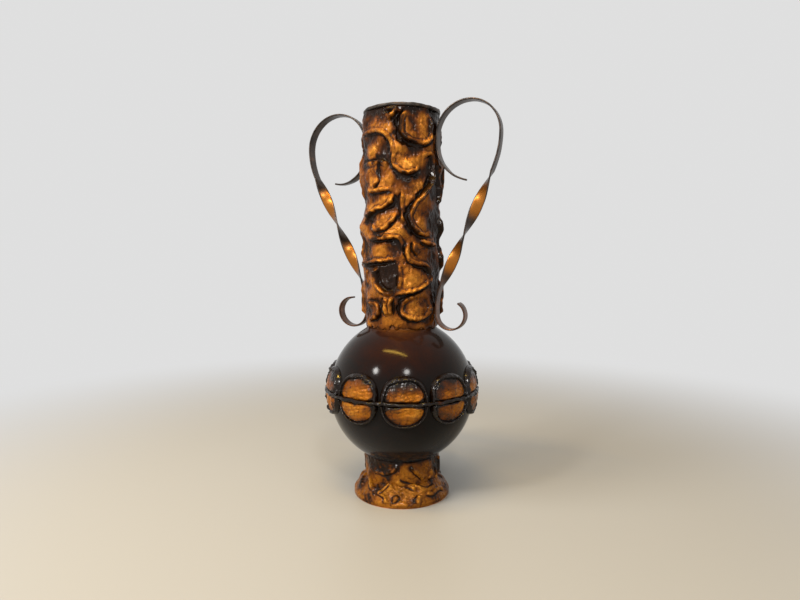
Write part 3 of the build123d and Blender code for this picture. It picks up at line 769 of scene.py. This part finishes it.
def bend(start, way, radius, turn, count):
    """Points of an arc that leaves a start in a direction and turns left by an angle in degrees."""
    steps = np.radians(turn) * np.linspace(0, 1, count)
    side = np.array([-way[1], way[0]]) * np.sign(turn)
    centre = start + side * radius
    arm = start - centre
    cos, sin = np.cos(steps)[:, None], np.sin(steps)[:, None]
    return centre + cos * arm + sin * np.array([-arm[1], arm[0]])


def strip_handle(name, side, loop_rise, loop, hook, hook_turn, shoulder, heel, scroll, curl, curl_turn):
    """Handle of one strip: a rounded rectangle carried along hook, seat, loop, shank and scroll."""
    loop_level = shoulder_level + loop_rise
    scroll_level = shoulder_level + scroll_rise
    heel_level = scroll_level + seat_height
    outermost = strip_line + 2 * loop
    gap = np.array([strip_line + heel - outermost + shoulder, loop_level - heel_level])
    reach = np.hypot(*gap)
    slope = np.degrees(np.arcsin((shoulder + heel) / reach) - np.arctan2(gap[0], gap[1]))
    down = np.array([0.0, -1.0])
    hook_start = np.array([strip_line, loop_level - seat_height])
    hook_line = bend(hook_start, down, hook, hook_turn, count=60)[::-1]
    loop_line = bend(np.array([strip_line, loop_level]), -down, loop, -180.0, count=90)
    shoulder_line = bend(loop_line[-1], down, shoulder, -slope, count=40)
    lean = np.radians(slope)
    way = np.array([-np.sin(lean), -np.cos(lean)])
    shank_length = np.sqrt(reach**2 - (shoulder + heel) ** 2)
    shank_line = shoulder_line[-1] + way * np.linspace(0, shank_length, shank_steps)[:, None]
    heel_line = bend(shank_line[-1], way, heel, slope, count=40)
    scroll_line = bend(np.array([strip_line, scroll_level]), down, scroll, 180.0, count=60)
    curl_line = bend(scroll_line[-1], -down, curl, curl_turn, count=30)
    above = [hook_line, loop_line, shoulder_line[1:]]
    below = [heel_line[1:], scroll_line, curl_line[1:]]
    line = np.concatenate([*above, shank_line[1:], *below])
    twist = np.concatenate([np.zeros(sum(map(len, above))), np.linspace(0, -2 * np.pi, shank_steps)[1:],
                            np.zeros(sum(map(len, below)))])
    passed = np.concatenate([[0.0], np.cumsum(np.hypot(*np.diff(line, axis=0).T))])
    ahead = np.gradient(line, passed, axis=0)
    ahead /= np.linalg.norm(ahead, axis=1, keepdims=True)
    across = np.stack([-ahead[:, 1], ahead[:, 0]], -1)
    corner = full_turn(strip_corners)
    wide = squared(np.cos(corner), flat_roundness) * strip_width / 2
    thin = squared(np.sin(corner), edge_roundness) * strip_thickness / 2
    wide = wide * np.interp(passed, taper_places, taper_shares)[:, None]
    cos, sin = np.cos(twist)[:, None], np.sin(twist)[:, None]
    flatwise = wide * cos - thin * sin
    edgewise = wide * sin + thin * cos
    points = np.stack([line[:, :1] + across[:, :1] * edgewise, flatwise,
                       line[:, 1:] + across[:, 1:] * edgewise], -1)
    points = points + 0.06 * lumps(points, size=14.0, seed=41)[..., None]
    points[..., 0] *= side
    first, last = (np.broadcast_to(end.mean(1, keepdims=True), end.shape)
                   for end in (points[:1], points[-1:]))
    points = np.concatenate([first, points, last])
    rubbed_and_lit = 1 - 0.8 * eased(np.abs(np.cos(corner)) ** flat_roundness, 0.80, 0.18)
    if side > 0:
        points = points[:, ::-1]
        rubbed_and_lit = rubbed_and_lit[::-1]
    total = passed[-1]
    lower = eased(passed, 0.72 * total, 0.12 * total)
    # Painted reflection: the twist is gold where its flat faces turn to the eye and to the back, and
    # less so towards the strip's edges.
    gold = np.concatenate([[0.0], np.abs(np.sin(twist)) ** 1.3, [0.0]])[:, None] * rubbed_and_lit
    lower = np.concatenate([[0.0], lower, [1.0]])[:, None] * np.ones((1, strip_corners))
    return grid_piece(name + "_strip", points, False, [name],
                      {"gold": gold, "lower": lower})


right_strip = strip_handle("right_handle", side=1, loop_rise=204.5, loop=34.0, hook=40.0,
                           hook_turn=78.0, shoulder=95.0, heel=55.0, scroll=16.0, curl=14.0,
                           curl_turn=62.0)
left_strip = strip_handle("left_handle", side=-1, loop_rise=201.5, loop=37.0, hook=33.0,
                          hook_turn=105.0, shoulder=75.0, heel=45.0, scroll=17.5, curl=15.0,
                          curl_turn=88.0)
material, tree, shader = new_material("smoked_copper")
cloud = noise(tree, 10.0)
grain = noise(tree, 1.6, detail=5.0)
smoked = ramp(tree, cloud, [(0.3, (0.028, 0.023, 0.020)), (0.6, (0.078, 0.058, 0.047)),
                            (0.8, (0.16, 0.085, 0.048))])
scrolls = ramp(tree, cloud, [(0.3, (0.040, 0.023, 0.015)), (0.6, (0.13, 0.060, 0.034)),
                             (0.8, (0.26, 0.13, 0.07))])
body = blend(tree, carried_mark(tree, "lower"), smoked, scrolls)
# The gold of the twists is a painted reflection.
rubbed_and_lit = rescaled(tree, carried_mark(tree, "gold"), (0.35, 0.85), kind="SMOOTHSTEP")
body = blend(tree, rubbed_and_lit, body, (0.36, 0.128, 0.018))
feed(tree, shader, {"Base Color": body, "Metallic": 0.85,
                    "Roughness": rescaled(tree, grain, (0.3, 0.7), (0.26, 0.42))})
for strip in (right_strip, left_strip):
    strip.data.materials.append(material)

# BELT OF LOBES
# Ten roundels of paste bonded round the seam of the globe, each cut in two by the cord: an upper
# and a lower half-round pad, rough and golden, with a fat black coil laid round its edge.
belt_level = 118.626
belt_radius = 79.923
lobe_count = 10
lobe_start = -63.5
root_line = 1.9
lobe_gap = 0.4
half_width = belt_radius * np.sin(np.pi / lobe_count) - lobe_gap
upper_reach = 28.0
lower_reach = 25.0
upper_fullness = 2.4
lower_fullness = 2.15
upper_coil = (1.7, 2.5)
lower_coil = (1.5, 1.7)
coil_heights = (5.6, 4.3)
bedding = 0.12
pad_corner = 8.0
pad_middle = 0.42
pad_share = 0.62
pad_rings = 10
coil_rings = 16
under_shares = [1.0, 0.97, 0.6, 0.0]
arc_steps = 90
straight_steps = 41
outline_softenings = 3
upper_stains = [-0.10, -0.32, 0.3, -0.25, 0.12, 0.3, -0.2, 0.25, 0.35, -0.02]
lower_stains = [-0.32, -0.45, -0.3, 0.3, -0.25, 0.2, -0.3, 0.25, 0.30, 0.24]
upper_smoke = [0.95, 0.45, 0.6, 0.8, 0.3, 0.7, 0.5, 0.8, 0.6, 0.40]
lower_smoke = 0.25
upper_soot = 0.16
lower_soot = -0.03
belt_material = crust_material(
    "golden_crust", gold=(0.34, 0.115, 0.008), brown=(0.17, 0.052, 0.007), pale=(0.52, 0.22, 0.025),
    fray=0.21, ink=(0.014, 0.013, 0.018), gloss=0.40)


def lobe(name, number, sign, reach, stain, smoke, seed):
    """Half-round cushion on the globe: rings shrink from the outline to a middle point, on top at the
    height of coil and pad, underneath on the globe."""
    rng = np.random.default_rng(seed)
    reach = reach * rng.uniform(0.95, 1.0)
    power = 2 / (upper_fullness if sign > 0 else lower_fullness)
    start = np.arcsin((root_line / reach) ** (1 / power))
    arc = np.linspace(start, np.pi - start, arc_steps)
    arc_line = np.stack([half_width * squared(np.cos(arc), power), reach * np.sin(arc) ** power], -1)
    straight = np.linspace(arc_line[-1], arc_line[0], straight_steps)[1:-1]
    outline = np.concatenate([arc_line, straight])
    for _ in range(outline_softenings):
        outline = (np.roll(outline, 1, 0) + 2 * outline + np.roll(outline, -1, 0)) / 4
    middle = np.array([0.0, pad_middle * reach])
    ring_share = np.concatenate([np.linspace(0, pad_share, pad_rings, endpoint=False),
                                 np.linspace(pad_share, 1.0, coil_rings)])
    shares = np.concatenate([ring_share, under_shares])
    flat = middle + shares[:, None, None] * (outline - middle)
    aside, up = flat[..., 0], flat[..., 1]
    gap = np.hypot(aside[..., None] - arc_line[:, 0], up[..., None] - arc_line[:, 1]).min(-1)
    turn = np.radians(lobe_start + 360.0 / lobe_count * number)
    out = np.array([np.cos(turn), np.sin(turn), 0.0])
    along = np.array([-np.sin(turn), np.cos(turn), 0.0])
    spot = flat[..., :1] * along + np.array([0.0, 0.0, 1.0]) * flat[..., 1:] * sign + out * belt_radius
    lump = lumps(spot, size=11.0, seed=51)
    fine = lumps(spot, size=3.6, seed=52)
    lean = rng.uniform(-0.25, 0.25) * aside / half_width
    coil_width = np.interp(up, [root_line, reach], upper_coil if sign > 0 else lower_coil)
    coil_width = coil_width * (1 + 0.07 * lump + lean)
    coil = np.sqrt(np.clip(1 - ((gap - coil_width) / coil_width) ** 2, 0, 1))
    crest = np.interp(up, [root_line, reach], coil_heights) * (1 + 0.10 * lump + 0.06 * fine)
    inside = eased(gap, 1.6 * coil_width, 1.5)
    pad = 2.0 + 2.2 * np.sqrt(eased(gap, 3.0, 9.0)) + 0.35 * lump + 0.18 * fine
    pad = pad * (0.55 + 0.45 * np.sqrt(eased(up, root_line, 2.0)))
    height = np.maximum(0.6 + (pad - 0.6) * inside, crest * coil)
    under = np.arange(len(shares)) >= len(ring_share)
    height = np.where(under[:, None], 0.0, np.maximum(height, 0.25))
    level = belt_level + sign * up
    ball = (globe_radius + bedding + height) ** 2 - (level - globe_centre) ** 2
    depth = np.sqrt(np.clip(ball, 1, None) - aside**2)
    points = depth[..., None] * out + flat[..., :1] * along
    points[..., 2] = level
    passed = (1 - np.sign(stain) * aside / half_width) / 2
    stained = np.clip((abs(stain) - passed) / 0.8 + 0.4 + 0.08 * lump, 0, 1)
    soot_and_shade = 1.15 * np.clip((2 * coil_width + 1.2 - gap) / 2.6, 0, 1)
    # Painted shade: the pad is a little darker just inside the coil.
    soot_and_shade = soot_and_shade + 0.15 * np.exp(-np.clip(gap - 2 * coil_width, 0, 99) / 3.0)
    inward = np.clip(pad_corner - gap + 2 * coil_width - 0.6, 0, None)
    upward = np.clip(pad_corner - up + root_line + 0.6, 0, None)
    rounded = pad_corner - np.hypot(inward, upward)
    soot_and_shade = np.clip(soot_and_shade + np.clip((1.2 - rounded + 0.4 * lump) / 2.0, 0, 1), 0, 1.2)
    # Painted highlight of the lamps above: a broken lighter line along the coil's crest.
    crest_highlight = fall(gap - coil_width, 0.6 * coil_width) ** 2
    soot_and_shade = soot_and_shade - np.clip(-0.12 + 0.22 * lump + 0.20 * fine, 0.0, 0.25) * crest_highlight
    soot_and_shade = soot_and_shade + smoke * eased(up / reach, 0.33, 0.45)
    soot_and_shade = soot_and_shade + 0.75 * stained + 0.05 * lump + 0.03 * fine + (upper_soot if sign > 0 else lower_soot)
    soot_and_shade = np.clip(soot_and_shade, 0, 1.2)
    rubbing_and_light = np.clip(0.15 + 0.35 * lump + 0.2 * fine, 0, 1) * eased(gap, 4, 3)
    marks = {"soot_and_shade": soot_and_shade[::-1], "rubbing_and_light": rubbing_and_light[::-1]}
    points = points[::-1]
    if sign < 0:
        points = points[:, ::-1]
        marks = {mark: values[:, ::-1] for mark, values in marks.items()}
    piece = grid_piece(name + "_crust", points, False, [name], marks)
    piece.data.materials.append(belt_material)


for number in range(lobe_count):
    lobe(f"upper_lobe_{number + 1:02d}", number, sign=1, reach=upper_reach,
         stain=upper_stains[number], smoke=upper_smoke[number], seed=60 + number)
    lobe(f"lower_lobe_{number + 1:02d}", number, sign=-1, reach=lower_reach,
         stain=lower_stains[number], smoke=lower_smoke, seed=80 + number)

# CORD
# A rolled cord of dark paste, uneven to the touch, laid round the globe between the two rows of
# lobes and bonded to their straight edges.
cord_out = 3.0
cord_half_width = 2.7
cord_half_height = 2.1
cord_corners = 20
cord_columns = 480
corner = full_turn(cord_corners)
cord_points = spun(belt_radius + cord_out + cord_half_width * np.cos(corner),
                   belt_level + cord_half_height * np.sin(corner), full_turn(cord_columns))
cord_points[..., 2] += 0.4 * lumps(cord_points, size=16.0, seed=71)
cord_points[..., :2] *= (1 + 0.004 * lumps(cord_points, size=8.0, seed=72))[..., None]
cord_soot = 1.1 + 0.1 * lumps(cord_points, size=12.0, seed=73)
cord = grid_piece("belt_cord", cord_points, True, ["equator_cord"],
                  {"soot_and_shade": cord_soot, "rubbing_and_light": 0 * cord_soot})
cord.data.materials.append(belt_material)
